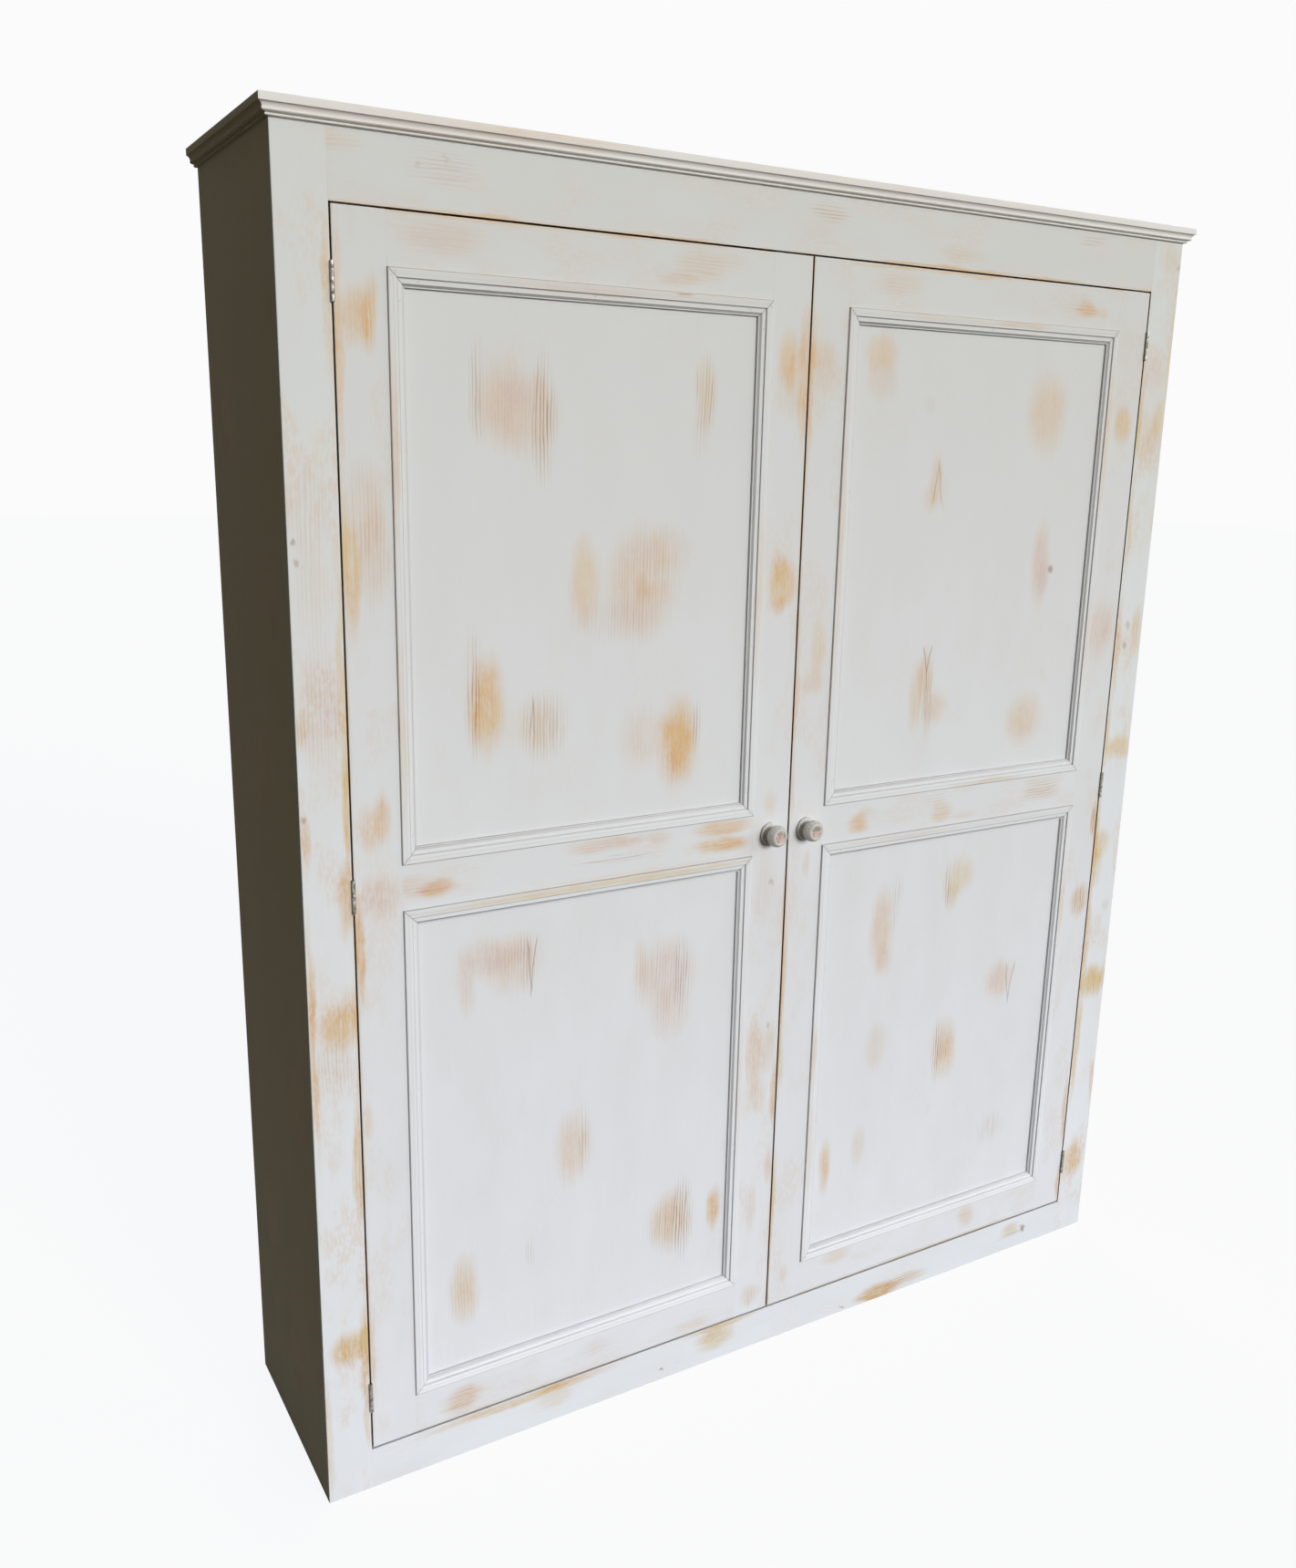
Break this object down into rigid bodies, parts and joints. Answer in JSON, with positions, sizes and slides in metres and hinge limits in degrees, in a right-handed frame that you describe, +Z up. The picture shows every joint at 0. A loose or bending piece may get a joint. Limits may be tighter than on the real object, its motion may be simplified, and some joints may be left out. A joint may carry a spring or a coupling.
{
  "type": "kitchen cupboard",
  "caption": "Tall shallow pine cupboard with a small cornice, a face frame and a pair of inset panelled doors on butt hinges, off-white paint rubbed back to the wood.",
  "frame": {"origin": "middle of the footprint of the whole cupboard, knobs included, on the floor", "axes": "+Z up, +Y from the doors to the back, +X to the right when facing the doors"},
  "size_m": [1.695, 0.4134, 2.0245],
  "materials": {
    "painted_pine": "matt off-white paint over pine, rubbed back to the wood in patches and along the edges",
    "bare_pine": "plain planed pine",
    "plywood": "unpainted thin plywood",
    "hinge_steel": "dull dark steel",
    "catch_plastic": "brown moulded plastic"
  },
  "bodies": {
    "carcass": {"back_sheet_left": "plywood", "back_sheet_right": "plywood", "bottom_board": "bare_pine", "catch_left": "catch_plastic", "catch_right": "catch_plastic", "cornice_front": "painted_pine", "cornice_left": "painted_pine", "cornice_right": "painted_pine", "face_rail_bottom": "painted_pine", "face_rail_top": "painted_pine", "face_stile_left": "painted_pine", "face_stile_right": "painted_pine", "hinge_frame_leaf_left_bottom": "hinge_steel", "hinge_frame_leaf_left_middle": "hinge_steel", "hinge_frame_leaf_left_top": "hinge_steel", "hinge_frame_leaf_right_bottom": "hinge_steel", "hinge_frame_leaf_right_middle": "hinge_steel", "hinge_frame_leaf_right_top": "hinge_steel", "partition": "bare_pine", "shelf_left_1": "bare_pine", "shelf_left_2": "bare_pine", "shelf_left_3": "bare_pine", "shelf_right_1": "bare_pine", "shelf_right_2": "bare_pine", "shelf_right_3": "bare_pine", "side_left": "painted_pine", "side_right": "painted_pine", "stop_batten": "bare_pine", "top_board": "painted_pine"},
    "left_door": {"door_left_bottom_rail": "painted_pine", "door_left_hinge_stile": "painted_pine", "door_left_lower_moulding": "painted_pine", "door_left_lower_panel": "painted_pine", "door_left_meeting_stile": "painted_pine", "door_left_middle_rail": "painted_pine", "door_left_top_rail": "painted_pine", "door_left_upper_moulding": "painted_pine", "door_left_upper_panel": "painted_pine", "hinge_door_leaf_left_bottom": "hinge_steel", "hinge_door_leaf_left_middle": "hinge_steel", "hinge_door_leaf_left_top": "hinge_steel", "knob_left": "painted_pine", "knob_screw_left": "hinge_steel", "strike_plate_left": "hinge_steel"},
    "right_door": {"door_right_bottom_rail": "painted_pine", "door_right_hinge_stile": "painted_pine", "door_right_lower_moulding": "painted_pine", "door_right_lower_panel": "painted_pine", "door_right_meeting_stile": "painted_pine", "door_right_middle_rail": "painted_pine", "door_right_top_rail": "painted_pine", "door_right_upper_moulding": "painted_pine", "door_right_upper_panel": "painted_pine", "hinge_door_leaf_right_bottom": "hinge_steel", "hinge_door_leaf_right_middle": "hinge_steel", "hinge_door_leaf_right_top": "hinge_steel", "knob_right": "painted_pine", "knob_screw_right": "hinge_steel", "strike_plate_right": "hinge_steel"}
  },
  "joints": [
    {"name": "left_door_hinge", "type": "hinge", "parent": "carcass", "child": "left_door", "pos_m": [-0.76025, -0.17785, 0.99125], "axis": [0, 0, -1], "range_deg": [0, 175]},
    {"name": "right_door_hinge", "type": "hinge", "parent": "carcass", "child": "right_door", "pos_m": [0.76025, -0.17785, 0.99125], "axis": [0, 0, 1], "range_deg": [0, 175]}
  ]
}
